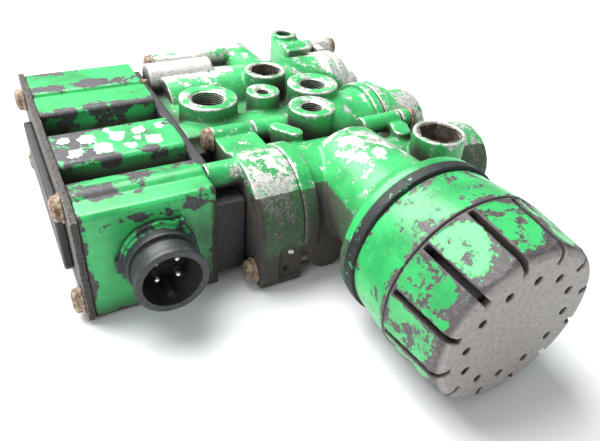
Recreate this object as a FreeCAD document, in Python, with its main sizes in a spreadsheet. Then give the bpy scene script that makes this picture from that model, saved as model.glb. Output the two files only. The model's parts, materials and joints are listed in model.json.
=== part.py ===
"""Twin relay solenoid valve for compressed-air brakes.

Frame: millimetres, +Z up, X along the relay and solenoid axes, the silencer points to -Y.
The origin is the middle of the overall box, on the surface that the valve stands on.
"""

import FreeCAD
import Part
import Sketcher
import os
from collections import namedtuple

DIMENSIONS = {
    # Two relay barrels lie side by side along X; a third one feeds them.
    "relay_height": 34.0,
    "barrel_outer": 32.0,
    "front_relay_y": -17.0,
    "rear_relay_y": 39.0,
    "supply_y": 100.0,
    "supply_height": 39.0,
    "piston_bore": 27.0,
    "stem_bore": 7.0,
    "valve_chamber": 17.0,
    "seat_hole": 10.0,
    "seat_width": 4.0,
    "casting_wall": 5.0,
    "flange_step": 1.5,
    # Running gear of each relay.
    "piston_clearance": 0.3,
    "stem_clearance": 0.08,
    "exhaust_gap": 1.5,
    "piston_skirt": 14.0,
    "seat_gap": 0.05,
    # Castings: faces along X.
    "body_left": -48.0,
    "front_cover_left": -36.0,
    "front_seam": -11.0,
    "front_seat": 18.0,
    "small_barrel_outer": 22.5,
    "front_barrel_end": 99.6,
    "front_cap_end": 129.0,
    "rear_seat": 20.0,
    "rear_seam": 82.0,
    "rear_cover_end": 122.0,
    "supply_flange": 27.8,
    "supply_seam": 86.0,
    "supply_cover_end": 112.0,
    # Ports: all their faces lie in one plane.
    "port_plane": 68.4,
    # Silencer and its neck.
    "silencer_x": 32.0,
    "silencer_height": 45.5,
    "flange_outer": 43.5,
    "neck_flange_face": -88.0,
    "seal_ring_face": -94.0,
    "cap_start": -122.0,
    "silencer_end": -156.0,
    "cap_outer": 45.5,
    "cap_end_outer": 42.0,
    "spigot_outer": 27.5,
    "vent_circle": 28.0,
    # Solenoid block.
    "block_left": -120.0,
    "block_right": -54.6,
    "block_front": -34.0,
    "block_back": 129.0,
    "block_base": 2.0,
    "valley_floor": 52.0,
    "hump_top": 63.6,
    "solenoid_height": 31.0,
    "coil_outer": 15.5,
    "tube_outer": 8.0,
    "valve_depth": 14.0,
    "armature_outer": 6.9,
    "armature_travel": 0.8,
    "plate_thickness": 3.5,
    # Bayonet socket for the cable.
    "socket_x": -86.0,
    "socket_height": 34.5,
    "socket_length": 24.5,
    # Screws.
    "screw_height": 58.5,
    "low_screw_height": 9.5,
    "long_screw_shank": 2.7,
    "long_screw_head": 6.4,
    "cover_screw_shank": 3.0,
    "cover_screw_head": 6.2,
    "head_height": 5.5,
}

doc = FreeCAD.newDocument("relay_valve")
sheet = doc.addObject("Spreadsheet::Sheet", "Sizes")
nodes = []


class Size:
    """A length that knows both its value and the sheet expression that gives it."""

    def __init__(self, value, text):
        self.value = value
        self.text = text

    def _join(self, other, sign, value):
        other_text = other.text if isinstance(other, Size) else repr(float(other))
        return Size(value, f"({self.text} {sign} {other_text})")

    def __add__(self, other):
        return self._join(other, "+", self.value + number(other))

    def __sub__(self, other):
        return self._join(other, "-", self.value - number(other))

    def __mul__(self, other):
        return self._join(other, "*", self.value * number(other))

    def __neg__(self):
        return Size(-self.value, f"(0 - {self.text})")


def number(size):
    """Plain number of a Size or of a number."""
    return size.value if isinstance(size, Size) else float(size)


def fill_sheet():
    """Write every driving dimension to the sheet under its alias."""
    for row, (name, value) in enumerate(DIMENSIONS.items(), start=1):
        sheet.set(f"A{row}", name)
        sheet.set(f"B{row}", str(value))
        sheet.setAlias(f"B{row}", name)
    doc.recompute()


def dim(name):
    """Driving dimension as a Size bound to its cell."""
    return Size(DIMENSIONS[name], f"Sizes.{name}")


def bind(item, name, size):
    """Give a property its size: an expression where the size comes from the sheet."""
    if isinstance(size, Size):
        item.setExpression(name, size.text)
    else:
        item.setExpression(name, repr(float(size)))


def place(item, position, turn=None):
    """Put an object at a position, turned by a rotation."""
    item.Placement = FreeCAD.Placement(
        FreeCAD.Vector(*(number(value) for value in position)), turn or FreeCAD.Rotation()
    )
    for name, value in zip("xyz", position):
        bind(item, f"Placement.Base.{name}", value)


def node(item, name):
    """Name an object as one sub-part of the valve."""
    item.Label = name
    nodes.append(item)
    return item


TURN = {
    "X": FreeCAD.Rotation(FreeCAD.Vector(0, 1, 0), 90),
    "Y": FreeCAD.Rotation(FreeCAD.Vector(1, 0, 0), -90),
    "Z": FreeCAD.Rotation(),
}


def along(axis, low, side_a, side_b):
    """Point with the given place along an axis and the two other places in X, Y, Z order."""
    if axis == "X":
        return (low, side_a, side_b)
    if axis == "Y":
        return (side_a, low, side_b)
    return (side_a, side_b, low)


def rod(axis, low, high, side_a, side_b, radius):
    """Cylinder along an axis between two places."""
    item = doc.addObject("Part::Cylinder", "rod")
    bind(item, "Radius", radius)
    bind(item, "Height", _span(low, high))
    place(item, along(axis, low, side_a, side_b), TURN[axis])
    return item


def taper(axis, low, high, side_a, side_b, low_radius, high_radius):
    """Cone along an axis between two places."""
    item = doc.addObject("Part::Cone", "taper")
    bind(item, "Radius1", low_radius)
    bind(item, "Radius2", high_radius)
    bind(item, "Height", _span(low, high))
    place(item, along(axis, low, side_a, side_b), TURN[axis])
    return item


def _span(low, high):
    if isinstance(high, Size):
        return high - low
    if isinstance(low, Size):
        return -low + high
    return high - low


def block(x_range, y_range, z_range):
    """Box between two places on each axis."""
    item = doc.addObject("Part::Box", "block")
    for name, (low, high) in zip(("Length", "Width", "Height"), (x_range, y_range, z_range)):
        bind(item, name, _span(low, high))
    place(item, (x_range[0], y_range[0], z_range[0]))
    return item


def oval(x_pair, y_pair, low, high, radius):
    """Upright post with an oval section between two centres."""
    start = FreeCAD.Vector(x_pair[0], y_pair[0], 0)
    run = FreeCAD.Vector(x_pair[1], y_pair[1], 0) - start
    turn = FreeCAD.Rotation(FreeCAD.Vector(1, 0, 0), run)
    middle = doc.addObject("Part::Box", "oval_middle")
    bind(middle, "Length", run.Length)
    bind(middle, "Width", 2 * radius)
    bind(middle, "Height", _span(low, high))
    corner = start - turn.multVec(FreeCAD.Vector(0, radius, 0))
    place(middle, (corner.x, corner.y, low), turn)
    ends = [rod("Z", low, high, x, y, radius) for x, y in zip(x_pair, y_pair)]
    return fuse(middle, *ends)


def fuse(*items):
    """Union of several shapes."""
    if len(items) == 1:
        return items[0]
    item = doc.addObject("Part::MultiFuse", "fuse")
    item.Shapes = list(items)
    return item


def cut(base, *tools):
    """A shape with tools taken out of it."""
    item = doc.addObject("Part::Cut", "cut")
    item.Base = base
    item.Tool = fuse(*tools)
    return item


def group(*items):
    """Separate solids kept as one sub-part."""
    item = doc.addObject("Part::Compound", "group")
    item.Links = list(items)
    return item


def origin_plane(body, role):
    """One of a body's own origin planes."""
    for feature in body.Origin.OriginFeatures:
        if feature.Role == role:
            return feature
    raise ValueError(role)


def outline(body, points, role="XY_Plane"):
    """Closed sketch outline whose corners are dimensioned from the sketch's origin."""
    sketch = body.newObject("Sketcher::SketchObject", "outline")
    sketch.AttachmentSupport = [(origin_plane(body, role), "")]
    sketch.MapMode = "FlatFace"
    corners = [FreeCAD.Vector(number(a), number(b), 0) for a, b in points]
    for index, corner in enumerate(corners):
        following = corners[(index + 1) % len(corners)]
        sketch.addGeometry(Part.LineSegment(corner, following), False)
    for index in range(len(corners)):
        following = (index + 1) % len(corners)
        sketch.addConstraint(Sketcher.Constraint("Coincident", index, 2, following, 1))
    for index, point in enumerate(points):
        for kind, size, axis in (("DistanceX", point[0], -2), ("DistanceY", point[1], -1)):
            if number(size) == 0:
                sketch.addConstraint(Sketcher.Constraint("PointOnObject", index, 1, axis))
                continue
            row = sketch.addConstraint(Sketcher.Constraint(kind, -1, 1, index, 1, number(size)))
            bind(sketch, f"Constraints[{row}]", size)
    return sketch


def turned(profile, axis, side_a, side_b):
    """Solid of revolution about an axis, from (place along the axis, radius) corners."""
    body = doc.addObject("PartDesign::Body", "turned")
    sketch = outline(body, profile)
    revolution = body.newObject("PartDesign::Revolution", "turning")
    revolution.Profile = sketch
    revolution.ReferenceAxis = (sketch, ["H_Axis"])
    revolution.Angle = 360
    turn = {
        "X": FreeCAD.Rotation(),
        "Y": FreeCAD.Rotation(FreeCAD.Vector(0, 0, 1), 90),
        "Z": FreeCAD.Rotation(FreeCAD.Vector(0, 1, 0), -90),
    }[axis]
    place(body, along(axis, 0, side_a, side_b), turn)
    return body


def tube(axis, low, high, side_a, side_b, inner, outer):
    """Ring with square ends."""
    profile = [(low, inner), (high, inner), (high, outer), (low, outer)]
    return turned(profile, axis, side_a, side_b)


def plate(points, low, high):
    """Flat plate across X, from (y, z) corners, padded between two places along X."""
    body = doc.addObject("PartDesign::Body", "plate")
    sketch = outline(body, points, "YZ_Plane")
    pad = body.newObject("PartDesign::Pad", "thickness")
    pad.Profile = sketch
    bind(pad, "Length", _span(low, high))
    place(body, (low, 0, 0))
    return body


def screw(axis_sign, head_face, tip, y, z, shank, head):
    """Dome-headed screw along X with a washer flange; its head points to axis_sign."""
    height = dim("head_height")
    steps = [(0, head * 1.15), (1.3, head * 1.15), (1.3, head), (height * 0.75, head),
             (height, head * 0.6)]
    reach = [(head_face + rise * axis_sign if isinstance(rise, Size) else head_face + axis_sign * rise,
              radius) for rise, radius in steps]
    profile = [(tip, 0), (tip, shank), (head_face, shank)] + reach
    profile.append((head_face + height * axis_sign, 0))
    return turned(profile, "X", y, z)


# Places shared by several sub-parts.
RELAY_Z = dim("relay_height")
FRONT_Y = dim("front_relay_y")
REAR_Y = dim("rear_relay_y")
SUPPLY_Y = dim("supply_y")
SUPPLY_Z = dim("supply_height")
SILENCER = (dim("silencer_x"), dim("silencer_height"))
SCREW_Z = dim("screw_height")
LOW_SCREW_Z = dim("low_screw_height")

# Upright ports: centre, boss radius, hole radius, thread depth and how low the drill below it goes.
Port = namedtuple("Port", "x y boss hole depth drill_end")
PORTS = {
    "supply": Port(-25.0, 55.0, 18.0, 10.3, 16.0, 36.0),
    "pilot": Port(11.0, 53.0, 10.6, 4.3, 10.0, 46.0),
    "rear_delivery": Port(47.0, 53.0, 16.8, 8.6, 14.0, 36.0),
    "front_delivery": Port(30.0, 23.0, 14.5, 6.8, 12.0, 46.0),
}
# Spare ports: centre, boss radius, plug radius, plug height and its socket across flats.
Plug = namedtuple("Plug", "x y boss radius height across")
PLUGS = {
    "front": Plug(83.5, -34.0, 15.6, 12.9, 16.0, 22.0),
    "rear": Plug(27.0, 83.5, 14.0, 10.6, 14.0, 18.0),
}
SOLENOIDS = {"front": -13.0, "middle": 26.0, "back": 81.0}
LONG_SCREWS = [(-15.0, SCREW_Z), (109.0, SCREW_Z), (-26.0, LOW_SCREW_Z), (119.0, LOW_SCREW_Z)]
FRONT_COVER_SCREWS = [(22.0, SCREW_Z), (-40.0, LOW_SCREW_Z), (11.0, LOW_SCREW_Z)]
REAR_COVER_SCREWS = [(4.0, SCREW_Z), (69.0, LOW_SCREW_Z + 1.5), (9.0, LOW_SCREW_Z + 1.5)]
SUPPLY_COVER_SCREWS = [(127.0, SCREW_Z + 2.5), (126.0, LOW_SCREW_Z + 4)]
SUPPLY_LUGS = (16.0, 7.0)
PASSAGE_SCREW = (133.0, SCREW_Z + 2.5)


def main_body():
    """Die-cast housing with both relay bores, the supply gallery, the ports and the exhaust neck."""
    outer = dim("barrel_outer")
    seam = dim("front_seam")
    top = dim("port_plane")
    left = dim("body_left")
    neck_x, neck_z = SILENCER
    face = dim("neck_flange_face")
    lumps = [
        rod("X", seam, seam + 9, FRONT_Y, RELAY_Z, outer + dim("flange_step") * 0.5),
        rod("X", seam, 44, FRONT_Y, RELAY_Z, outer - 2),
        taper("X", 44, 52, FRONT_Y, RELAY_Z, outer - 2, dim("small_barrel_outer")),
        rod("X", 40, dim("front_barrel_end"), FRONT_Y, RELAY_Z, dim("small_barrel_outer")),
        rod("X", 30, dim("rear_seam"), REAR_Y, RELAY_Z, outer - 3),
        rod("X", dim("rear_seam") - 6, dim("rear_seam"), REAR_Y, RELAY_Z, outer + 1),
        rod("X", left, 34, REAR_Y, RELAY_Z, 25),
        rod("X", left + 8, dim("supply_seam"), SUPPLY_Y, SUPPLY_Z, 26),
        rod("X", dim("supply_seam") - 7, dim("supply_seam"), SUPPLY_Y, SUPPLY_Z,
            dim("supply_flange")),
        block((seam, dim("rear_seam")), (FRONT_Y, REAR_Y), (10, 47)),
        block((left, 78), (REAR_Y, SUPPLY_Y), (10, 50)),
        block((left, -14), (8, 126), (4, 54)),
        block((left + 6, 70), (SUPPLY_Y, 122), (8, 48)),
        taper("Y", -70, -16, neck_x, neck_z, 31, 27),
        taper("Y", face + 5, -70, neck_x, neck_z, dim("flange_outer") - 2.5, 31),
        rod("Y", face, face + 5.5, neck_x, neck_z, dim("flange_outer")),
        rod("Y", -47, -20, 7, 15, 12.5),
        rod("Y", 96, 146, 29, 52, 14),
        rod("X", seam, 11, 22, SCREW_Z, 6.6),
        rod("X", seam, -3, -15, SCREW_Z, 7),
        rod("X", 54, dim("rear_seam"), 4, SCREW_Z, 5.8),
        rod("X", dim("rear_seam") - 16, dim("rear_seam"), 69, LOW_SCREW_Z + 1.5, 6),
        rod("X", dim("rear_seam") - 16, dim("rear_seam"), 9, LOW_SCREW_Z + 1.5, 6),
        rod("X", left + 11, -6, *PASSAGE_SCREW, 6.2),
        rod("X", -8, 18, *PASSAGE_SCREW, 7.2),
        rod("X", left, -4, 109, 59.5, 11.5),
        rod("X", 62, dim("supply_seam"), 127, SCREW_Z + 2.5, 6.5),
        rod("X", 62, dim("supply_seam"), 126, LOW_SCREW_Z + 4, 6.5),
        block((seam, 4), (6, 26), (4, 20)),
        block((-37, -6), (100, 133), (30, 57)),
        block((60, 76), (96, 127), (10, 58)),
        rod("Z", 34, top, 72.5, 145.8, 10.2),
        block((62.3, 82.7), (118, 145.8), (34, 65)),
        oval((2.0, 8.0), (12.0, 3.0), 40, 65, 4.6),
        oval((74.0, 77.0), (-12.0, -5.0), 40, 61, 5.5),
        oval((6.0, 13.0), (103.0, 103.0), 40, 63, 5.5),
        oval((66.0, 74.0), (104.0, 104.0), 40, 63, 5.5),
    ]
    for port in list(PORTS.values()) + list(PLUGS.values()):
        lumps.append(rod("Z", RELAY_Z, top, port.x, port.y, port.boss))
    cover_space = [
        rod("X", left - 1, seam, FRONT_Y, RELAY_Z, outer + 0.4),
        rod("X", left - 1, seam, *FRONT_COVER_SCREWS[0], 7.5),
        rod("X", left - 1, seam, *FRONT_COVER_SCREWS[2], 7.5),
        block((left - 1, seam), (FRONT_Y, 21), (SCREW_Z - 16.3, SCREW_Z + 3.3)),
    ]
    rear_seat = dim("rear_seat")
    front_seat = dim("front_seat")
    width = dim("seat_width")
    chamber = dim("valve_chamber")
    bore = dim("piston_bore")
    relay_hollows = [
        rod("X", seam - 1, 2, FRONT_Y, RELAY_Z, bore),
        rod("X", 1, 9, FRONT_Y, RELAY_Z, dim("stem_bore")),
        rod("X", 8, front_seat, FRONT_Y, RELAY_Z, chamber),
        rod("X", front_seat - 1, front_seat + width + 1, FRONT_Y, RELAY_Z, dim("seat_hole")),
        rod("X", front_seat + width, 101, FRONT_Y, RELAY_Z, chamber),
        rod("X", 70, 90, REAR_Y, RELAY_Z, bore),
        rod("X", 61, 71, REAR_Y, RELAY_Z, dim("stem_bore")),
        rod("X", rear_seat, 62, REAR_Y, RELAY_Z, chamber),
        rod("X", rear_seat - width - 1, rear_seat + 1, REAR_Y, RELAY_Z, dim("seat_hole")),
        rod("X", left - 1, rear_seat - width, REAR_Y, RELAY_Z, chamber),
    ]
    galleries = [
        rod("X", 0, 90, SUPPLY_Y, SUPPLY_Z, 16),
        rod("Y", face - 1, -66, neck_x, neck_z, dim("spigot_outer") + 0.5),
        rod("Y", -67, -40, neck_x, neck_z, 20),
        rod("Y", 124, 147, 29, 52, 10.3),
        rod("Y", 104, 125, 29, 52, 8.4),
        rod("Y", 50, 90, 5, RELAY_Z, 5),
        rod("Z", 30, 70, 72.5, 145.8, 5.9),
    ]
    ports = []
    for port in PORTS.values():
        ports.append(rod("Z", top - port.depth, top + 1, port.x, port.y, port.hole))
        ports.append(taper("Z", top - 1.6, top + 0.1, port.x, port.y, port.hole - 0.1,
                           port.hole + 1.6))
        ports.append(rod("Z", port.drill_end, top - port.depth + 1, port.x, port.y, port.hole * 0.6))
    for plug in PLUGS.values():
        ports.append(rod("Z", top - plug.height, top + 1, plug.x, plug.y, plug.radius))
        ports.append(rod("Z", 44, top - plug.height + 1, plug.x, plug.y, 5))
    threads = []
    for y, z in FRONT_COVER_SCREWS:
        threads.append(rod("X", seam - 1, seam + 14, y, z, dim("cover_screw_shank")))
    for y, z in REAR_COVER_SCREWS:
        threads.append(rod("X", dim("rear_seam") - 14, dim("rear_seam") + 1, y, z,
                           dim("cover_screw_shank")))
    for y, z in SUPPLY_COVER_SCREWS:
        threads.append(rod("X", dim("supply_seam") - 14, dim("supply_seam") + 1, y, z,
                           dim("cover_screw_shank")))
    for y, z in LONG_SCREWS[1:2] + LONG_SCREWS[3:]:
        threads.append(rod("X", left - 1, left + 14, y, z, dim("long_screw_shank")))
    threads.append(rod("X", left + 10, left + 24, *PASSAGE_SCREW, dim("cover_screw_shank")))
    casting = fuse(*lumps)
    casting = cut(cut(casting, *cover_space), *relay_hollows)
    for gallery in galleries:
        casting = cut(casting, gallery)
    casting = cut(cut(casting, *ports), *threads)
    node(casting, "main_body")


def front_cover():
    """Cover over the front relay's piston, squared off to a foot at its front."""
    left = dim("front_cover_left")
    seam = dim("front_seam")
    outer = dim("barrel_outer")
    lumps = [
        rod("X", left, seam, FRONT_Y, RELAY_Z, outer),
        block((left, seam), (FRONT_Y - outer, FRONT_Y), (dim("block_base"), RELAY_Z)),
        rod("X", dim("block_right") + 0.6, seam, -15, SCREW_Z, 7),
        rod("X", left, seam, 22, SCREW_Z, 6.6),
        block((left, seam), (FRONT_Y, 20), (SCREW_Z - 16, SCREW_Z + 3)),
        rod("X", left, seam, 11, LOW_SCREW_Z, 6.6),
    ]
    recess_back = FRONT_Y - outer + 1.6
    hollows = [
        tube("X", seam - 2.2, seam + 1, FRONT_Y, RELAY_Z, 28, 30.2),
        rod("X", left + dim("casting_wall"), seam + 1, FRONT_Y, RELAY_Z, dim("piston_bore")),
        block((seam - 14, seam + 1), (FRONT_Y - outer - 1, recess_back), (6, 22)),
        rod("Y", FRONT_Y - outer - 1, recess_back, seam - 7, 22, 7),
        rod("Y", FRONT_Y - outer - 1, FRONT_Y - outer + 4, seam - 9, 11, 2.0),
        rod("Y", FRONT_Y - outer - 1, FRONT_Y - outer + 4, seam - 7, 22.5, 1.8),
        rod("X", dim("block_right") - 1, left + 4.4, -15, SCREW_Z, dim("long_screw_shank") + 0.3),
    ]
    for y, z in FRONT_COVER_SCREWS:
        hollows.append(rod("X", left - 1, seam + 1, y, z, dim("cover_screw_shank") + 0.3))
    node(cut(fuse(*lumps), *hollows), "front_relay_cover")
    pin_face = FRONT_Y - outer + 0.2
    profile = [(pin_face, 0), (pin_face, 1.1), (pin_face + 0.6, 1.8), (FRONT_Y - outer + 4, 1.8),
               (FRONT_Y - outer + 4, 0)]
    node(turned(profile, "Y", seam - 7, 22.5), "cover_locating_pin")


def rear_cover():
    """Cover over the rear relay's piston, stepped down to a round end."""
    seam = dim("rear_seam") + 0.6
    end = dim("rear_cover_end")
    outer = dim("barrel_outer")
    shell = turned([
        (seam, 27), (seam, outer + 1), (seam + 5.2, outer + 1), (seam + 6.4, outer - 2),
        (seam + 14, outer - 3), (seam + 16.5, 25), (end - 6, 24), (end - 1.6, 21.5), (end, 16),
        (end, 0), (seam + 20, 0), (seam + 20, 8), (seam + 13, 8), (seam + 13, 27),
    ], "X", REAR_Y, RELAY_Z)
    lugs = []
    holes = []
    for y, z in REAR_COVER_SCREWS:
        lugs.append(rod("X", seam, seam + 6.4, y, z, 6.4))
        holes.append(rod("X", seam - 1, seam + 8, y, z, dim("cover_screw_shank") + 0.3))
    link = block((seam, seam + 6.4), (3, 14), (46, 60))
    node(cut(fuse(shell, link, *lugs), *holes, rod("X", seam - 1, seam + 13, REAR_Y, RELAY_Z, 27)),
         "rear_relay_cover")


def end_caps():
    """Caps that close the valve ends of both relays and the supply gallery."""
    start = dim("front_barrel_end")
    end = dim("front_cap_end")
    node(turned([
        (start, 15), (start, 26), (start + 5, 26), (start + 6, 24.5), (end - 9, 24), (end - 3, 22.5),
        (end - 0.8, 19), (end, 14), (end, 0), (end - 8, 0), (end - 8, 12), (end - 12, 15),
    ], "X", FRONT_Y, RELAY_Z), "front_guide_cap")
    left = dim("body_left")
    node(turned([
        (left + 0.2, 0), (left + 0.2, 16.9), (left + 9, 16.9), (left + 9, 10), (left + 3.5, 10),
        (left + 3.5, 0),
    ], "X", REAR_Y, RELAY_Z), "rear_guide_cap")
    seam = dim("supply_seam")
    cover_end = dim("supply_cover_end")
    dome = turned([
        (seam, 0), (seam, dim("supply_flange")), (seam + 5, dim("supply_flange")), (seam + 7, 26),
        (seam + 11, 23), (seam + 12.5, 13),
        (cover_end - 2, 11.5), (cover_end, 9), (cover_end, 0),
    ], "X", SUPPLY_Y, SUPPLY_Z)
    lugs = [rod("X", seam, seam + length, y, z, 6.5)
            for (y, z), length in zip(SUPPLY_COVER_SCREWS, SUPPLY_LUGS)]
    webs = [block((seam, seam + 6), (114, 127), (50, 65)), block((seam, seam + 6), (114, 126), (10, 24))]
    holes = [rod("X", seam - 1, seam + length + 1, y, z, dim("cover_screw_shank") + 0.3)
             for (y, z), length in zip(SUPPLY_COVER_SCREWS, SUPPLY_LUGS)]
    node(cut(fuse(dome, *lugs, *webs), *holes), "supply_end_cover")


def seals():
    """Static sealing rings at the seams."""
    seam = dim("front_seam")
    bore = dim("piston_bore")
    node(tube("X", seam - 2.1, seam, FRONT_Y, RELAY_Z, 28.05, 30.15), "front_cover_seal")
    node(tube("X", dim("rear_seam"), dim("rear_seam") + 0.6, REAR_Y, RELAY_Z, bore + 0.5, bore + 5),
         "rear_cover_gasket")
    node(tube("Y", dim("seal_ring_face"), dim("neck_flange_face"), SILENCER[0], SILENCER[1],
              dim("spigot_outer") + 0.3, dim("flange_outer") + 0.7), "silencer_seal_ring")


def relay(name, sign, axis_y, crown, web_end, seat_face, guide_far):
    """Piston, sealing ring, inlet valve, spring and guide of one relay.

    sign is +1 where the piston moves to +X. crown is the piston's closed end, seat_face the valve's
    seat and guide_far the far end of the valve guide.
    """
    bore = dim("piston_bore")
    piston_radius = bore - dim("piston_clearance")
    stem_radius = dim("stem_bore") - dim("stem_clearance")
    skirt = crown + dim("piston_skirt") * sign
    tip = seat_face - dim("exhaust_gap") * sign
    groove = crown + 5 * sign
    node(turned([
        (crown, 0), (crown, piston_radius), (groove, piston_radius), (groove, piston_radius - 3),
        (groove + 3 * sign, piston_radius - 3), (groove + 3 * sign, piston_radius),
        (skirt, piston_radius), (skirt, piston_radius - 4), (crown + 6 * sign, piston_radius - 6),
        (crown + 5 * sign, stem_radius), (tip, stem_radius), (tip, 4.5), (web_end, 4.5), (web_end, 0),
    ], "X", axis_y, RELAY_Z), f"{name}_relay_piston")
    ring_low = groove + 0.1 * sign
    ring_high = groove + 2.9 * sign
    node(turned([
        (ring_low, piston_radius - 2.9), (ring_low, bore - 0.5), (ring_low + 0.9 * sign, bore - 0.05),
        (ring_high - 0.9 * sign, bore - 0.05), (ring_high, bore - 0.5), (ring_high, piston_radius - 2.9),
    ], "X", axis_y, RELAY_Z), f"{name}_piston_ring")
    disc = seat_face + dim("seat_gap") * sign
    disc_back = disc + 4 * sign
    stem_end = disc + 26 * sign
    node(turned([
        (disc, 3.5), (disc, 12.5), (disc_back, 12.5), (disc_back, 6), (stem_end, 6), (stem_end, 3.5),
    ], "X", axis_y, RELAY_Z), f"{name}_inlet_valve")
    guide_near = disc_back + 12 * sign
    node(turned([
        (guide_near, 6.07), (guide_near, 15), (guide_near + 3 * sign, 16.9), (guide_far, 16.9),
        (guide_far, 13), (guide_near + 6 * sign, 9), (guide_near + 6 * sign, 6.07),
    ], "X", axis_y, RELAY_Z), f"{name}_valve_guide")
    spring_low = disc_back + 0.1 * sign
    spring_high = guide_near - 0.1 * sign
    node(tube("X", spring_low, spring_high, axis_y, RELAY_Z, 8, 10.2), f"{name}_valve_spring")


def relays():
    """Working parts of both relays, mirrored about the middle of the valve."""
    front_crown = dim("front_cover_left") + dim("casting_wall") + 1
    relay("front", 1, FRONT_Y, front_crown, 4, dim("front_seat") + dim("seat_width"), 66)
    rear_crown = dim("rear_seam") + 12.6
    relay("rear", -1, REAR_Y, rear_crown, 66, dim("rear_seat") - dim("seat_width"), -28)


def port_fittings():
    """Socket plugs that close the spare ports, and the strainer behind the rear port."""
    top = dim("port_plane")
    for name, plug in PLUGS.items():
        socket = doc.addObject("Part::Prism", "socket")
        socket.Polygon = 6
        bind(socket, "Circumradius", plug.across / 3 ** 0.5)
        bind(socket, "Height", plug.height)
        place(socket, (plug.x, plug.y, top - plug.height + 4))
        shell = rod("Z", top - plug.height, top - 0.4, plug.x, plug.y, plug.radius - 0.02)
        node(cut(shell, socket), f"{name}_socket_plug")
    node(tube("Y", 111, 123.5, 29, 52, 7.4, 8.2), "supply_strainer")


def silencer():
    """Push-in silencer: collar, slotted cap and damping sleeve."""
    x, z = SILENCER
    ring = dim("seal_ring_face")
    start = dim("cap_start")
    end = dim("silencer_end")
    outer = dim("cap_outer")
    end_outer = dim("cap_end_outer")
    spigot = dim("spigot_outer")
    node(turned([
        (-68, spigot - 3), (-68, spigot - 0.6), (-72, spigot), (ring, spigot), (ring, 42),
        (ring - 1.5, 42.6), (start + 0.4, outer - 0.5), (start + 0.4, 38), (ring - 4, 38),
        (ring - 4, spigot - 3),
    ], "Y", x, z), "silencer_collar")
    cup = turned([
        (start, 38.5), (start, outer - 1), (start - 1.5, outer), (end + 4, end_outer + 0.6),
        (end + 1.2, end_outer - 0.8), (end, end_outer - 3.2), (end, 0), (end + 4, 0), (end + 4, 38),
        (start + 0.2, 38),
    ], "Y", x, z)
    slots = []
    flats = []
    vents = []
    axis = FreeCAD.Vector(0, 1, 0)
    draft = FreeCAD.Rotation(FreeCAD.Vector(1, 0, 0), 5.2)
    for turn in range(12):
        angle = turn * 30 + 15
        slot = doc.addObject("Part::Box", "slot")
        bind(slot, "Length", 3.0)
        bind(slot, "Width", _span(end - 1, start - 2))
        bind(slot, "Height", 14)
        spin = FreeCAD.Rotation(axis, angle)
        corner = spin.multVec(FreeCAD.Vector(-1.5, 0, 34.5))
        place(slot, (x + corner.x, end - 1, z + corner.z), spin)
        slots.append(slot)
        flat = doc.addObject("Part::Box", "flat")
        bind(flat, "Length", 26)
        bind(flat, "Width", 31)
        bind(flat, "Height", 6)
        face = FreeCAD.Rotation(axis, angle + 15)
        corner = face.multVec(FreeCAD.Vector(-13, 0, end_outer.value - 0.35))
        place(flat, (x + corner.x, end + 2.2, z + corner.z), face.multiply(draft))
        flats.append(flat)
        hole = FreeCAD.Rotation(axis, angle + 15.5).multVec(FreeCAD.Vector(0, 0, dim("vent_circle").value))
        vents.append(rod("Y", end - 1, end + 5, x + hole.x, z + hole.z, 2.2))
    node(cut(cut(cup, *flats), *slots, *vents), "silencer_cap")
    node(tube("Y", end + 4.5, ring - 4.5, x, z, 24, 37), "damping_sleeve")


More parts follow.
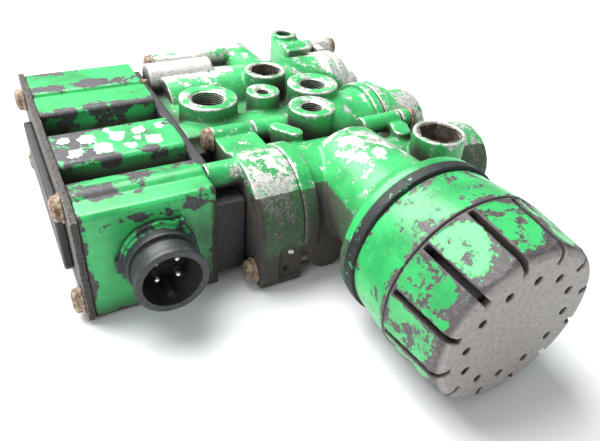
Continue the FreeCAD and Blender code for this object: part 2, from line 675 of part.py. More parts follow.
def solenoid_block():
    """Moulded housing with three humps, its end plate and pad, and the pilot manifold."""
    left = dim("block_left")
    right = dim("block_right")
    front = dim("block_front")
    back = dim("block_back")
    base = dim("block_base")
    floor = dim("valley_floor")
    top = dim("hump_top")
    outline_points = [
        (front, base), (back, base), (back, top + 1), (back - 2, top + 2.5), (97, top + 2.5),
        (95, top), (93, top), (91, top + 3), (69, top + 3), (67, top + 1.5), (67, floor), (44, floor),
        (44, top + 1), (42, top + 2.5), (11, top + 2.5), (9, top + 1), (9, floor), (-2, floor),
        (-2, top - 1), (-6, top),
        (front + 2, top), (front, top - 2),
    ]
    shell = plate(outline_points, left, right)
    columns = [rod("X", left, right, -15, SCREW_Z, 7.5), rod("X", left, right, 109, SCREW_Z, 7.5)]
    hollows = []
    coil_end = right - dim("valve_depth")
    for y in SOLENOIDS.values():
        z = dim("solenoid_height")
        hollows.append(rod("X", left + 5, coil_end + 0.2, y, z, dim("coil_outer") + 0.4))
        hollows.append(rod("X", coil_end, right + 1, y, z, dim("tube_outer") + 0.2))
    for y, z in LONG_SCREWS:
        hollows.append(rod("X", left - 1, right + 1, y, z, dim("long_screw_shank") + 0.3))
    well = rod("Y", front - 1, front + 6, dim("socket_x"), dim("socket_height"), 12.6)
    node(cut(fuse(shell, *columns), *hollows, well), "solenoid_housing")

    plate_left = left - dim("plate_thickness")
    end_points = [
        (front - 1.2, base), (back + 1, base), (back + 1, top + 3), (96, top + 3.4), (66, top + 3.4),
        (44, top + 3), (-16, top + 3), (front - 1.2, top - 1),
    ]
    holes = [rod("X", plate_left - 1, left + 1, y, z, dim("long_screw_shank") + 0.4)
             for y, z in LONG_SCREWS]
    node(cut(plate(end_points, plate_left, left), *holes), "end_plate")
    pad_points = [(-12, 20), (-6, 14), (96, 14), (102, 20), (102, 44), (96, 50), (-6, 50), (-12, 44)]
    node(plate(pad_points, plate_left - 4.5, plate_left), "end_pad")

    screws = []
    for index, (y, z) in enumerate(LONG_SCREWS):
        tip = {0: dim("front_cover_left") + 4, 2: right - 2}.get(index, dim("body_left") + 14)
        screws.append(screw(-1, plate_left, tip, y, z, dim("long_screw_shank"), dim("long_screw_head")))
    node(group(*screws), "solenoid_block_screws")

    seats = []
    bores = []
    manifold_left = right + 0.2
    manifold_right = dim("body_left") - 0.2
    for y in SOLENOIDS.values():
        z = dim("solenoid_height")
        bores.append(rod("X", manifold_left - 1, manifold_right + 1, y, z, 4))
        seats.append(turned([
            (-66.6, 1.2), (-66.6, 2.2), (-64.5, 4), (manifold_right - 0.6, 4), (manifold_right - 0.6, 1.2),
        ], "X", y, z))
    for y, z in LONG_SCREWS[1:2] + LONG_SCREWS[3:]:
        bores.append(rod("X", manifold_left - 1, manifold_right + 1, y, z, dim("long_screw_shank") + 0.3))
    manifold = fuse(
        block((manifold_left, manifold_right), (-8, 127), (5, 60)),
        block((manifold_left, dim("front_cover_left") - 1), (-30, 3), (5, 50)),
    )
    bores.append(rod("X", manifold_left - 1, manifold_right + 1, -15, SCREW_Z, 7.6))
    node(cut(manifold, *bores), "pilot_manifold")
    node(group(*seats), "pilot_valve_seats")


def solenoids():
    """Coil, pole tube, armature and return spring of each solenoid."""
    z = dim("solenoid_height")
    left = dim("block_left") + 5.2
    coil_end = dim("block_right") - dim("valve_depth")
    tube_outer = dim("tube_outer")
    armature = dim("armature_outer")
    for name, y in SOLENOIDS.items():
        node(tube("X", left, coil_end, y, z, tube_outer + 0.05, dim("coil_outer")), f"{name}_coil")
        pole_face = left + 20
        node(turned([
            (left, 0), (left, tube_outer), (coil_end + 2, tube_outer), (coil_end + 2, tube_outer - 1),
            (pole_face, tube_outer - 1), (pole_face, 3.4), (pole_face - 6, 3.4), (pole_face - 6, 0),
        ], "X", y, z), f"{name}_pole_tube")
        start = pole_face + dim("armature_travel") + 0.1
        tip = -66.7
        node(turned([
            (start, 3.4), (start, armature), (tip, armature), (tip, 0), (start + 6, 0), (start + 6, 3.4),
        ], "X", y, z), f"{name}_armature")
        node(tube("X", pole_face - 5.9, start + 5.9, y, z, 2.2, 3.2), f"{name}_armature_spring")


def cable_socket():
    """Bayonet socket on the block's front, with its four pins and sealing ring."""
    x = dim("socket_x")
    z = dim("socket_height")
    front = dim("block_front")
    rim = front - dim("socket_length")
    shell = turned([
        (front + 5, 0), (front + 5, 12.4), (front - 1.0, 12.4), (front - 1.0, 19.5),
        (front - 3.6, 19.5), (front - 3.6, 17.2), (front - 9.5, 17.2), (front - 9.5, 18.2),
        (front - 11.5, 18.2), (front - 11.5, 15.8), (front - 13.5, 15.8), (front - 13.5, 16.8),
        (rim + 4, 16.8), (rim + 3, 18), (rim, 18), (rim, 14.4), (front - 4, 14), (front - 4, 0),
    ], "Y", x, z)
    lugs = [block((x - 21, x - 15), (front - 3.6, front - 1), (z - 5, z + 3)),
            block((x + 9, x + 14), (front - 3.6, front - 1), (z + 13, z + 18.5))]
    key = block((x - 1.6, x + 1.6), (rim + 6, front - 3.5), (z - 14.4, z - 11.6))
    pins = []
    sockets = []
    for side in (-1, 1):
        for level in (-1, 1):
            pin_x = x + side * 5.4
            pin_z = z + level * 5.0
            tip = rim + 8.5
            pins.append(turned([
                (tip, 0), (tip + 0.5, 1.2), (tip + 1.6, 1.8), (front + 2, 1.8), (front + 2, 0),
            ], "Y", pin_x, pin_z))
            sockets.append(rod("Y", front - 5, front + 2, pin_x, pin_z, 1.8))
    node(cut(fuse(shell, key, *lugs), *sockets), "cable_socket")
    node(group(*pins), "socket_pins")
    node(tube("Y", front - 0.95, front - 0.05, x, z, 12.6, 18.6), "socket_seal")


def cover_screws():
    """Screws that hold the covers: the front ones face left, the others face right."""
    shank = dim("cover_screw_shank")
    head = dim("cover_screw_head")
    node(group(*[screw(-1, dim("front_cover_left"), dim("front_seam") + 12, y, z, shank, head)
                 for y, z in FRONT_COVER_SCREWS]), "front_cover_screws")
    node(group(*[screw(1, dim("rear_seam") + 7, dim("rear_seam") - 12, y, z, shank, head)
                 for y, z in REAR_COVER_SCREWS]), "rear_cover_screws")
    node(group(*[screw(1, dim("supply_seam") + length, dim("supply_seam") - 12, y, z, shank, head)
                 for (y, z), length in zip(SUPPLY_COVER_SCREWS, SUPPLY_LUGS)]), "supply_cover_screws")
    node(screw(-1, dim("body_left") + 11, dim("body_left") + 23, *PASSAGE_SCREW, shank, head),
         "passage_screw")


def check_document():
    """Stop if any object failed or any sub-part has no valid shape."""
    doc.recompute()
    for item in doc.Objects:
        if "Invalid" in item.State or "Error" in item.State:
            raise RuntimeError(f"{item.Name} ({item.Label}) failed: {item.State}")
    for item in nodes:
        if item.Shape.isNull() or not item.Shape.isValid():
            raise RuntimeError(f"{item.Label} has no valid shape")


def export():
    """Write each sub-part to its own STEP file."""
    os.makedirs("parts", exist_ok=True)
    for item in nodes:
        item.Shape.exportStep(f"parts/{item.Label}.step")
        print(f"{item.Label}: {len(item.Shape.Solids)} solid(s), {item.Shape.Volume:.0f} mm3")


fill_sheet()
main_body()
front_cover()
rear_cover()
end_caps()
seals()
relays()
port_fittings()
silencer()
solenoid_block()
solenoids()
cable_socket()
cover_screws()
check_document()
export()
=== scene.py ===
"""Looks of a twin relay solenoid valve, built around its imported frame."""

import json
import logging
import math
from collections.abc import Callable, Sequence
from dataclasses import dataclass, field
from enum import Enum

import bpy
import numpy as np
from mathutils import Matrix, Vector

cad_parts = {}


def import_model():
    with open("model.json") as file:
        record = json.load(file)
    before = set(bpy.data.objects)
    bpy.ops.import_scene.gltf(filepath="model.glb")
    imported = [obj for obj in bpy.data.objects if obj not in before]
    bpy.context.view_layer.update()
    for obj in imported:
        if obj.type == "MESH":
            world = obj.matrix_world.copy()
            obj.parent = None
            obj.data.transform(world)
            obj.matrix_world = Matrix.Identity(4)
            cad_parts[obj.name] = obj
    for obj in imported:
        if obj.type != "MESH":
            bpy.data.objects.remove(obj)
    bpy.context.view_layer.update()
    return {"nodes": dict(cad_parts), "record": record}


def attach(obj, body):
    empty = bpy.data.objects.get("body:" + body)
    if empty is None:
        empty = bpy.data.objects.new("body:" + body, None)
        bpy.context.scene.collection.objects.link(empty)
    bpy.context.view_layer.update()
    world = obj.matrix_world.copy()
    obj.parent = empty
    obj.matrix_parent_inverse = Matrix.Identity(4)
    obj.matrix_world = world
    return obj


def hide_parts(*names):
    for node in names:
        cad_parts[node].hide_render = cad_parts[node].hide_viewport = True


LOG = logging.getLogger("relay_valve")
MM = 0.001
MOST_TRIANGLES = 88_000
BODY_TRIANGLES = 175_000
MERGE_MM = 0.004
Point = tuple[float, float, float]


class Body(Enum):
    """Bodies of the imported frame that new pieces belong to."""

    HOUSING = "housing"


class Wear(Enum):
    """Mesh attributes that say where a surface is worn, dirty, darkened by painted shade, marked, or
    lightened by bleaching and painted sheen.
    """

    BARE = "bare"
    GRIME_AND_SHADE = "grime_and_shade"
    MARK = "mark"
    PALE_AND_SHEEN = "pale_and_sheen"


def srgb(code: str) -> tuple[float, float, float, float]:
    """Turn an sRGB hex colour to linear.

    Args:
        code: Colour as "#rrggbb".

    Returns:
        Linear red, green and blue, and full opacity.
    """
    values = []
    for start in (1, 3, 5):
        share = int(code[start:start + 2], 16) / 255
        values.append(share / 12.92 if share <= 0.04045 else ((share + 0.055) / 1.055) ** 2.4)
    return (values[0], values[1], values[2], 1.0)


def add_node(
    tree: bpy.types.NodeTree,
    kind: str,
    values: dict | None = None,
    links: dict | None = None,
    **settings: object,
) -> bpy.types.Node:
    """Add a node with its settings, socket values and incoming links.

    Args:
        tree: Node tree that takes the node.
        kind: Node type without its "ShaderNode" start.
        values: Constant for each named or numbered input.
        links: Output socket that feeds each named or numbered input.
        settings: Properties of the node itself.

    Returns:
        The new node.
    """
    item = tree.nodes.new("ShaderNode" + kind)
    for name, value in settings.items():
        setattr(item, name, value)
    for name, value in (values or {}).items():
        item.inputs[name].default_value = value
    for name, socket in (links or {}).items():
        tree.links.new(socket, item.inputs[name])
    return item


def ramp(
    tree: bpy.types.NodeTree, source: bpy.types.NodeSocket, low: float, high: float
) -> bpy.types.NodeSocket:
    """Stretch a value so that low becomes 0 and high becomes 1.

    Args:
        tree: Node tree.
        source: Value to stretch.
        low: Source value that gives 0.
        high: Source value that gives 1.

    Returns:
        The stretched value.
    """
    item = add_node(
        tree, "MapRange", {"From Min": low, "From Max": high}, {"Value": source},
        interpolation_type="SMOOTHSTEP",
    )
    return item.outputs["Result"]


def grain(
    tree: bpy.types.NodeTree, place: bpy.types.NodeSocket, size_mm: float, detail: float = 4.0,
    roughness: float = 0.6,
) -> bpy.types.NodeSocket:
    """Noise whose blotches are about size_mm across.

    Args:
        tree: Node tree.
        place: Coordinates in metres.
        size_mm: Size of one blotch.
        detail: Octaves of finer noise.
        roughness: Strength of the finer noise.

    Returns:
        Noise value from 0 to 1.
    """
    item = add_node(
        tree, "TexNoise",
        {"Scale": 1.0 / (size_mm * MM), "Detail": detail, "Roughness": roughness},
        {"Vector": place},
    )
    return item.outputs["Fac"]


def combine(
    tree: bpy.types.NodeTree, operation: str, first: bpy.types.NodeSocket | float,
    second: bpy.types.NodeSocket | float, clamp: bool = False,
) -> bpy.types.NodeSocket:
    """Join two values by a Math node.

    Args:
        tree: Node tree.
        operation: Math operation.
        first: Socket or number.
        second: Socket or number.
        clamp: Keep the result from 0 to 1.

    Returns:
        The result.
    """
    values = {i: v for i, v in enumerate((first, second)) if isinstance(v, float)}
    links = {i: v for i, v in enumerate((first, second)) if not isinstance(v, float)}
    return add_node(tree, "Math", values, links, operation=operation, use_clamp=clamp).outputs[0]


def blend_colour(
    tree: bpy.types.NodeTree, share: bpy.types.NodeSocket,
    first: bpy.types.NodeSocket | tuple, second: bpy.types.NodeSocket | tuple,
) -> bpy.types.NodeSocket:
    """Mix two colours by a share.

    Args:
        tree: Node tree.
        share: 0 gives the first colour, 1 the second.
        first: Colour or socket.
        second: Colour or socket.

    Returns:
        The mixed colour.
    """
    values = {i: v for i, v in ((6, first), (7, second)) if isinstance(v, tuple)}
    links = {i: v for i, v in ((6, first), (7, second)) if not isinstance(v, tuple)}
    links[0] = share
    return add_node(tree, "Mix", values, links, data_type="RGBA").outputs[2]


def new_material(name: str) -> tuple[bpy.types.Material, bpy.types.NodeTree, bpy.types.Node]:
    """Make a material with an empty tree and a principled shader.

    Args:
        name: Name of the material.

    Returns:
        The material, its tree and its shader node.
    """
    material = bpy.data.materials.new(name)
    material.use_nodes = True
    tree = material.node_tree
    tree.nodes.clear()
    shader = add_node(tree, "BsdfPrincipled")
    add_node(tree, "OutputMaterial", links={"Surface": shader.outputs["BSDF"]})
    return material, tree, shader


@dataclass(frozen=True)
class Overspray:
    """Green spray paint over an older surface, flaking off in ragged chips."""

    name: str
    under: str
    under_shade: str
    under_metallic: float
    under_roughness: float
    chip_mm: float = 9.0
    cover: float = 0.47
    edge_wear: float = 0.22
    pit_mm: float = 1.1
    pit_depth_mm: float = 0.12
    paint: str = "#38bb67"
    paint_shade: str = "#278f4c"
    # Dark colour for dirty places and for painted shade.
    dirt_and_shade_colour: str = "#3d3833"
    scuff: str = "#93dfab"
    ink: str = "#e8ece6"
    speckle: float = 0.30
    crevice_mm: float = 22.0
    # Colour of bleached bare metal, and of the painted sheen on the silencer's end face.
    pale_and_sheen: str = "#e4e4de"
    pale_and_sheen_shade: str = "#b9b7ae"

    def build(self) -> bpy.types.Material:
        """Build the material.

        Returns:
            The finished material.
        """
        material, tree, shader = new_material(self.name)
        place = add_node(tree, "TexCoord").outputs["Object"]
        edge = add_node(tree, "NewGeometry").outputs["Pointiness"]
        worn = add_node(tree, "Attribute", attribute_name=Wear.BARE.value).outputs["Fac"]
        grime_and_shade = add_node(tree, "Attribute", attribute_name=Wear.GRIME_AND_SHADE.value).outputs["Fac"]
        mark = add_node(tree, "Attribute", attribute_name=Wear.MARK.value).outputs["Fac"]
        coarse = grain(tree, place, self.chip_mm, 5.0, 0.55)
        fine = grain(tree, place, self.chip_mm * 0.22, 5.0, 0.65)
        specks = grain(tree, place, 0.9, 3.0, 0.7)
        chips = combine(tree, "MULTIPLY_ADD", fine, 0.42)
        tree.links.new(coarse, chips.node.inputs[2])
        chips = combine(
            tree, "ADD", chips, combine(tree, "MULTIPLY", ramp(tree, specks, 0.56, 0.75), self.speckle)
        )
        loss = combine(tree, "MULTIPLY_ADD", worn, 0.62)
        tree.links.new(chips, loss.node.inputs[2])
        rim = combine(tree, "MULTIPLY", ramp(tree, edge, 0.505, 0.56), self.edge_wear)
        loss = combine(tree, "ADD", loss, rim)
        threshold = self.cover + 0.33
        bare = ramp(tree, loss, threshold - 0.012, threshold + 0.012)
        lift = ramp(tree, loss, threshold - 0.05, threshold)

        shade = ramp(tree, grain(tree, place, 34.0, 3.0), 0.35, 0.7)
        green = blend_colour(tree, shade, srgb(self.paint), srgb(self.paint_shade))
        scuffed = ramp(tree, grain(tree, place, 1.7, 4.0, 0.7), 0.56, 0.72)
        green = blend_colour(tree, combine(tree, "MULTIPLY", scuffed, 0.35), green, srgb(self.scuff))
        pits = grain(tree, place, self.pit_mm, 4.0, 0.7)
        spots = ramp(tree, grain(tree, place, 2.4, 6.0, 0.75), 0.44, 0.66)
        metal = blend_colour(tree, spots, srgb(self.under), srgb(self.under_shade))
        # Lighter under colour: bleaching on the castings, painted sheen on the silencer's end face.
        faded_and_sheen = add_node(tree, "Attribute", attribute_name=Wear.PALE_AND_SHEEN.value).outputs["Fac"]
        bleach_and_sheen = blend_colour(tree, spots, srgb(self.pale_and_sheen), srgb(self.pale_and_sheen_shade))
        metal = add_node(
            tree, "Mix", links={0: faded_and_sheen, 6: metal, 7: bleach_and_sheen}, data_type="RGBA"
        ).outputs[2]
        colour = blend_colour(tree, bare, green, metal)
        smear = combine(tree, "MULTIPLY", grain(tree, place, 3.2, 4.0, 0.6), 0.9)
        inked = ramp(tree, combine(tree, "ADD", smear, mark), 0.76, 0.80)
        colour = blend_colour(tree, inked, colour, srgb(self.ink))
        # Ambient occlusion paints shade into hollows, slots and recesses; with the dirty pits and the
        # painted shade of the wear attribute it mixes toward one dark colour.
        open_air = add_node(
            tree, "AmbientOcclusion", {"Distance": self.crevice_mm * MM}, samples=6
        ).outputs["AO"]
        hollow_shade = combine(tree, "MULTIPLY", ramp(tree, open_air, 0.80, 0.22), 0.62)
        dirt_and_shade = combine(tree, "ADD", combine(tree, "MULTIPLY", pits, 0.55), grime_and_shade)
        dirt_and_shade = combine(tree, "ADD", dirt_and_shade, hollow_shade)
        dirt_and_shade = ramp(tree, dirt_and_shade, 0.36, 0.92)
        colour = blend_colour(tree, dirt_and_shade, colour, srgb(self.dirt_and_shade_colour))
        tree.links.new(colour, shader.inputs["Base Color"])

        metallic = combine(tree, "MULTIPLY", bare, self.under_metallic)
        clean = combine(tree, "SUBTRACT", 1.0, dirt_and_shade)
        tree.links.new(combine(tree, "MULTIPLY", metallic, clean), shader.inputs["Metallic"])
        dull = add_node(
            tree, "Mix", {2: 0.30, 3: self.under_roughness}, {0: bare}, data_type="FLOAT"
        ).outputs[0]
        dull = combine(tree, "ADD", dull, combine(tree, "MULTIPLY", dirt_and_shade, 0.45), True)
        dull = combine(tree, "ADD", dull, combine(tree, "MULTIPLY", scuffed, 0.10), True)
        tree.links.new(dull, shader.inputs["Roughness"])

        film = combine(tree, "SUBTRACT", combine(tree, "MULTIPLY", lift, 0.35), bare)
        height = combine(tree, "MULTIPLY_ADD", pits, combine(tree, "MULTIPLY", bare, 0.9))
        tree.links.new(film, height.node.inputs[2])
        orange_peel = combine(tree, "MULTIPLY", grain(tree, place, 2.6, 2.0), 0.22)
        height = combine(tree, "ADD", height, orange_peel)
        bump = add_node(
            tree, "Bump", {"Strength": 0.75, "Distance": self.pit_depth_mm * MM * 2.0},
            {"Height": height},
        )
        tree.links.new(bump.outputs["Normal"], shader.inputs["Normal"])
        return material


@dataclass(frozen=True)
class Bulk:
    """One material through and through, with stains, grain and a little relief."""

    name: str
    base: str
    stain: str
    metallic: float
    roughness: float
    stain_mm: float = 3.0
    stain_share: float = 0.5
    grain_mm: float = 0.8
    relief_mm: float = 0.05
    edge: str | None = None

    def build(self) -> bpy.types.Material:
        """Build the material.

        Returns:
            The finished material.
        """
        material, tree, shader = new_material(self.name)
        place = add_node(tree, "TexCoord").outputs["Object"]
        middle = 0.62 - 0.3 * self.stain_share
        stains = ramp(tree, grain(tree, place, self.stain_mm, 6.0, 0.68), middle - 0.09, middle + 0.12)
        colour = blend_colour(tree, stains, srgb(self.base), srgb(self.stain))
        if self.edge is not None:
            point = add_node(tree, "NewGeometry").outputs["Pointiness"]
            rubbed = combine(
                tree, "MULTIPLY", ramp(tree, point, 0.51, 0.58), ramp(tree, stains, 1.2, 0.0)
            )
            colour = blend_colour(tree, rubbed, colour, srgb(self.edge))
        tree.links.new(colour, shader.inputs["Base Color"])
        shader.inputs["Metallic"].default_value = self.metallic
        texture = grain(tree, place, self.grain_mm, 4.0, 0.7)
        dull = combine(tree, "MULTIPLY_ADD", texture, 0.22)
        dull.node.inputs[2].default_value = self.roughness - 0.11
        dull = combine(tree, "ADD", dull, combine(tree, "MULTIPLY", stains, 0.12), True)
        tree.links.new(dull, shader.inputs["Roughness"])
        height = combine(tree, "MULTIPLY_ADD", stains, 0.6)
        tree.links.new(texture, height.node.inputs[2])
        bump = add_node(
            tree, "Bump", {"Strength": 0.7, "Distance": self.relief_mm * MM * 2.0},
            {"Height": height},
        )
        tree.links.new(bump.outputs["Normal"], shader.inputs["Normal"])
        return material


# Die-cast aluminium under spray paint: silvery, pitted and white with oxide where the paint is gone.
CASTING = Overspray(
    "oversprayed_die_cast_aluminium", "#d4d6d0", "#8d8a82", 0.5, 0.46, chip_mm=8.0, cover=0.51
)
# Caps and covers cast in the same alloy, with more paint gone.
WORN_CASTING = Overspray(
    "flaking_die_cast_aluminium", "#dadbd5", "#96938a", 0.5, 0.45, cover=0.44, edge_wear=0.3
)
# Glass-filled polyamide, charcoal and faintly rough, under paint that never keyed to it.
BLOCK_PLASTIC = Overspray(
    "oversprayed_glass_filled_polyamide", "#3b383b", "#565256", 0.0, 0.52, chip_mm=13.0,
    cover=0.54, edge_wear=0.30, pit_mm=0.7, pit_depth_mm=0.06, speckle=0.16,
)
# The silencer's own dark grey polyamide; the light grey-brown on its end face is a painted sheen.
SILENCER_PLASTIC = Overspray(
    "weathered_oversprayed_polyamide", "#454043", "#655d5d", 0.0, 0.50, chip_mm=8.0,
    cover=0.45, edge_wear=0.20, pit_mm=0.8, pit_depth_mm=0.06, speckle=0.10,
    pale_and_sheen="#a19c97", pale_and_sheen_shade="#857f7b",
)
# Nitrile rubber sealing ring that caught some of the spray.
SPRAYED_RUBBER = Overspray(
    "oversprayed_nitrile_rubber", "#1b1f1f", "#2b3130", 0.0, 0.62, chip_mm=6.0, cover=0.24,
    edge_wear=0.0, pit_mm=0.9, pit_depth_mm=0.05,
)
# Aluminium left bare from the lathe.
MACHINED = Bulk("machined_aluminium", "#c9c7c1", "#8f897e", 0.85, 0.34, 2.4, 0.45, 0.5, 0.03, "#ebebe8")
# Dull aluminium of the hexagon socket plugs.
PLUG = Bulk("weathered_aluminium_plug", "#8b847b", "#5d544b", 0.7, 0.45, 3.0, 0.5, 0.6, 0.04, "#c7c2ba")
# Steel screws whose zinc plating has rusted through.
RUST = Bulk("rusted_zinc_plated_steel", "#a8957f", "#6e5746", 0.3, 0.6, 2.6, 0.45, 0.5, 0.08, "#d8cdbb")
# Plain steel end plate under dirt.
PLATE = Bulk("dirty_plain_steel", "#4a4540", "#2c2826", 0.4, 0.55, 1.3, 0.35, 0.7, 0.02, "#a9a59c")
# Polypropylene pad on the end plate.
PAD = Bulk("moulded_polypropylene", "#2a2a2c", "#3d3c3d", 0.0, 0.55, 7.0, 0.4, 0.5, 0.02)
# Black polyamide of the manifold and the valve guides; where the manifold shows between the block and
# the housing, its black also stands for the shade in that gap.
MANIFOLD = Bulk("moulded_black_polyamide", "#232326", "#383634", 0.0, 0.55, 5.0, 0.4, 0.5, 0.03)
# The socket's grey polyamide caught a little spray at its root.
SOCKET = Overspray(
    "moulded_grey_polyamide", "#26282c", "#3c3e42", 0.0, 0.46, chip_mm=7.0, cover=0.24,
    edge_wear=0.05, pit_mm=0.7, pit_depth_mm=0.03, speckle=0.05,
)
# Nitrile rubber seals.
RUBBER = Bulk("nitrile_rubber", "#17191a", "#26292a", 0.0, 0.65, 3.0, 0.4, 0.5, 0.02)
# Silver-plated contacts of the socket.
PIN = Bulk("silver_plated_brass", "#e6e3dc", "#bdb7a9", 1.0, 0.22, 1.2, 0.3, 0.3, 0.01)
# Ground steel of the armatures and pole tubes.
STEEL = Bulk("ground_steel", "#b9b9b8", "#8d8c8a", 1.0, 0.28, 4.0, 0.4, 0.3, 0.01)
# Spring steel.
SPRING = Bulk("drawn_spring_steel", "#a9a9aa", "#77777a", 1.0, 0.32, 2.0, 0.4, 0.3, 0.01)
# Anodised aluminium pistons.
PISTON = Bulk("anodised_aluminium", "#c4c6c8", "#a4a7aa", 0.9, 0.36, 5.0, 0.4, 0.3, 0.01)
# Windings under black moulding.
COIL = Bulk("overmoulded_winding", "#202124", "#2f2f33", 0.0, 0.5, 4.0, 0.4, 0.5, 0.02)
# Turned brass pilot seats.
BRASS = Bulk("turned_brass", "#cda85a", "#9c7c3a", 1.0, 0.3, 2.0, 0.4, 0.3, 0.01)
# Needled fibre of the damping sleeve.
FIBRE = Bulk("needled_fibre", "#2c2b2a", "#464341", 0.0, 0.85, 1.5, 0.5, 0.4, 0.15)
# Woven steel of the supply strainer.
MESH = Bulk("woven_steel_mesh", "#a6a6a4", "#55534f", 0.9, 0.4, 0.9, 0.5, 0.5, 0.08)


@dataclass(frozen=True)
class Patch:
    """A place where an attribute is stronger, fading out over its reach, in millimetres."""

    centre: Point
    reach: Point
    amount: float


def select_only(item: bpy.types.Object) -> None:
    """Make one object the active and only selected one."""
    bpy.ops.object.select_all(action="DESELECT")
    item.select_set(True)
    bpy.context.view_layer.objects.active = item


def modify(item: bpy.types.Object, kind: str, **settings: object) -> None:
    """Add a modifier and apply it.

    Args:
        item: Object to change.
        kind: Modifier type.
        settings: Properties of the modifier.
    """
    select_only(item)
    modifier = item.modifiers.new(kind.lower(), kind)
    for name, value in settings.items():
        setattr(modifier, name, value)
    bpy.ops.object.modifier_apply(modifier=modifier.name)


def merged_copy(source: bpy.types.Object, name: str) -> bpy.types.Object:
    """Copy a frame node and close its loose triangles into one surface.

    Args:
        source: Node of the frame.
        name: Name of the new piece.

    Returns:
        The new piece.
    """
    item = bpy.data.objects.new(name, source.data.copy())
    bpy.context.scene.collection.objects.link(item)
    item.data.materials.clear()
    select_only(item)
    bpy.ops.object.mode_set(mode="EDIT")
    bpy.ops.mesh.select_all(action="SELECT")
    bpy.ops.mesh.remove_doubles(threshold=MERGE_MM * MM)
    bpy.ops.object.mode_set(mode="OBJECT")
    return item


def soften(item: bpy.types.Object, voxel_mm: float, passes: int, most: int) -> None:
    """Give every edge of a piece the small radius that casting or moulding leaves.

    Args:
        item: Piece to change.
        voxel_mm: Size of the new faces.
        passes: Smoothing passes; more gives rounder edges.
        most: Triangles the piece may keep.
    """
    step = voxel_mm * 1.0
    modify(item, "REMESH", mode="VOXEL", voxel_size=step * MM, use_smooth_shade=True)
    modify(item, "SMOOTH", factor=0.5, iterations=max(1, round(passes * voxel_mm / step)))
    triangles = sum(len(face.vertices) - 2 for face in item.data.polygons)
    if triangles > most:
        modify(item, "DECIMATE", ratio=most / triangles)
    select_only(item)
    bpy.ops.object.shade_smooth_by_angle(angle=math.radians(50))


def corners(item: bpy.types.Object) -> np.ndarray:
    """Vertex places of a piece, in millimetres."""
    flat = np.empty(len(item.data.vertices) * 3)
    item.data.vertices.foreach_get("co", flat)
    return flat.reshape(-1, 3) / MM


def paint_attribute(item: bpy.types.Object, kind: Wear, values: np.ndarray) -> None:
    """Write one number per vertex.

    Args:
        item: Piece to paint.
        kind: Attribute to write.
        values: One number per vertex.
    """
    layer = item.data.attributes.new(kind.value, "FLOAT", "POINT")
    layer.data.foreach_set("value", values.astype(np.float32))


def paint_even(item: bpy.types.Object, kind: Wear, amount: float = 0.0) -> None:
    """Give one attribute the same value all over a piece.

    Args:
        item: Piece to paint.
        kind: Attribute.
        amount: Its value.
    """
    paint_attribute(item, kind, np.full(len(item.data.vertices), amount))


def patch_values(item: bpy.types.Object, patches: Sequence[Patch], ground: float) -> np.ndarray:
    """Add up patches at each vertex.

    Args:
        item: Piece to paint.
        patches: Places where the value differs.
        ground: Value away from all patches.

    Returns:
        One number per vertex.
    """
    places = corners(item)
    values = np.full(len(places), ground)
    for patch in patches:
        away = (places - np.array(patch.centre)) / np.array(patch.reach)
        values += patch.amount * np.exp(-np.sum(away ** 4, axis=1))
    return values


@dataclass
class Workshop:
    """Turns frame nodes into finished pieces and gives plain nodes their finish."""

    nodes: dict[str, bpy.types.Object]
    slots: dict[str, str]
    made: dict[str, bpy.types.Material] = field(default_factory=dict)

    def finish(self, finish: Overspray | Bulk) -> bpy.types.Material:
        """Give the material of a finish, built once."""
        if finish.name not in self.made:
            self.made[finish.name] = finish.build()
        return self.made[finish.name]

    def dress(self, item: bpy.types.Object, finish: Overspray | Bulk) -> None:
        """Put a finish on a whole piece."""
        item.data.materials.clear()
        item.data.materials.append(self.finish(finish))

    def dress_node(self, name: str, finish: Bulk) -> None:
        """Put a finish on a frame node that stays as it is."""
        node = self.nodes[name]
        for slot in node.material_slots:
            slot.link = "OBJECT"
            slot.material = self.finish(finish)
        if not node.material_slots:
            node.data.materials.append(self.finish(finish))

    def settle(self, item: bpy.types.Object, body: Body, slot: str) -> None:
        """Let a finished piece ride on its body and log its face count."""
        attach(item, body.value)
        LOG.info("%s: %d faces", item.name, len(item.data.polygons))

    def skin(
        self, node: str, finish: Overspray | Bulk, voxel_mm: float, passes: int,
        adjust: Callable[[bpy.types.Object], None] | None = None,
        most: int = MOST_TRIANGLES,
    ) -> bpy.types.Object:
        """Replace a frame node by a piece with softened edges.

        Args:
            node: Frame node to stand for.
            finish: Finish of the piece.
            voxel_mm: Size of its faces.
            passes: Smoothing passes.
            adjust: Called on the softened piece before it is dressed.
            most: Triangles the piece may keep.

        Returns:
            The new piece.
        """
        item = merged_copy(self.nodes[node], f"{node}_shell")
        soften(item, voxel_mm, passes, most)
        if adjust is not None:
            adjust(item)
        self.dress(item, finish)
        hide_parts(node)
        self.settle(item, Body.HOUSING, self.slots[node])
        return item


